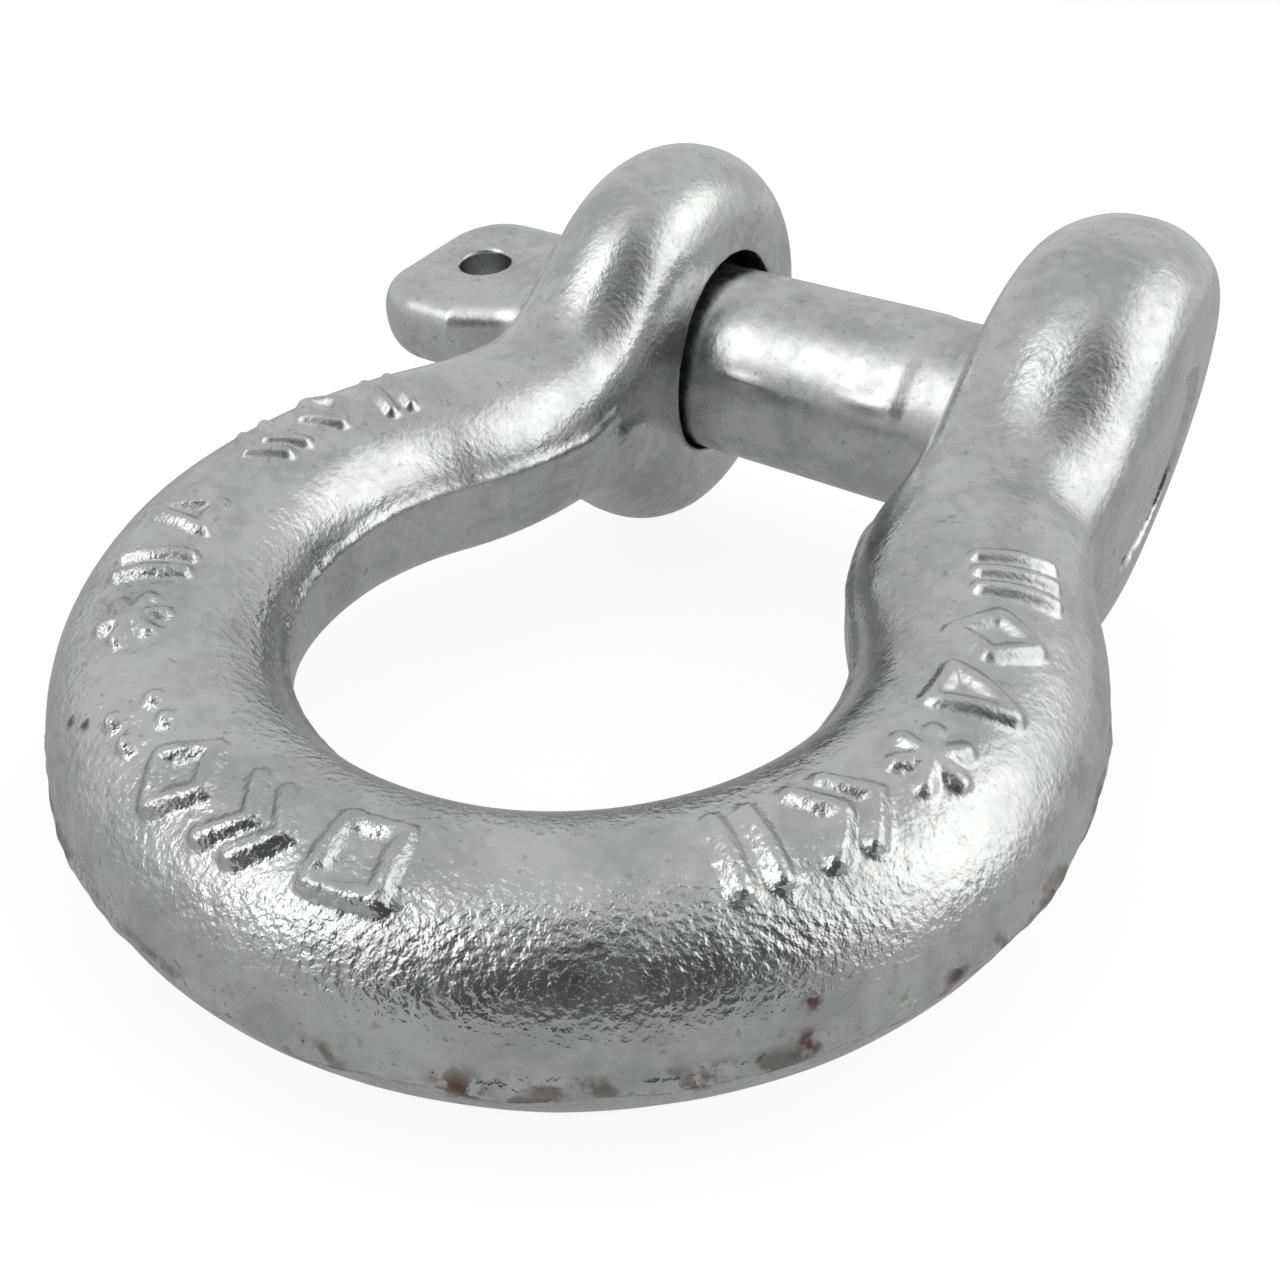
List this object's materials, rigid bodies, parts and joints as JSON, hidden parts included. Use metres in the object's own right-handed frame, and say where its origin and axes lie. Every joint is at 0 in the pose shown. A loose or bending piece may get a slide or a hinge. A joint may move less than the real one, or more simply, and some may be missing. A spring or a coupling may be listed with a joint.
{
  "type": "bow shackle",
  "caption": "Forged bow shackle with a screw pin that turns and withdraws to open the jaw, for joining rope, chain and fittings.",
  "frame": {"origin": "on the pin's axis, half way between the two ears", "axes": "+X along the pin from its eye head to the tapped ear, -Y towards the crown of the bow, +Z square to the bow"},
  "size_m": [0.0941, 0.1067, 0.0412],
  "materials": {
    "bow_zinc": "hot-dip galvanised, mottled and grainy",
    "pin_zinc": "hot-dip galvanised, smooth",
    "core_steel": "plain steel, hidden"
  },
  "bodies": {
    "bow": {"bow": "bow_zinc"},
    "pin_core": {"pin_core": "core_steel"},
    "screw_pin": {"screw_pin": "pin_zinc"}
  },
  "joints": [
    {"name": "pin_travel", "type": "slide", "parent": "bow", "child": "pin_core", "axis": [-1, 0, 0], "range_m": [0, 0.0762]},
    {"name": "pin_turn", "type": "hinge", "parent": "pin_core", "child": "screw_pin", "pos_m": [0, 0, 0], "axis": [-1, 0, 0], "range_deg": [0, 10801]}
  ],
  "couplings": [
    {"joint": "pin_turn", "follows": "pin_travel", "rad_per_m": 2473.7}
  ]
}
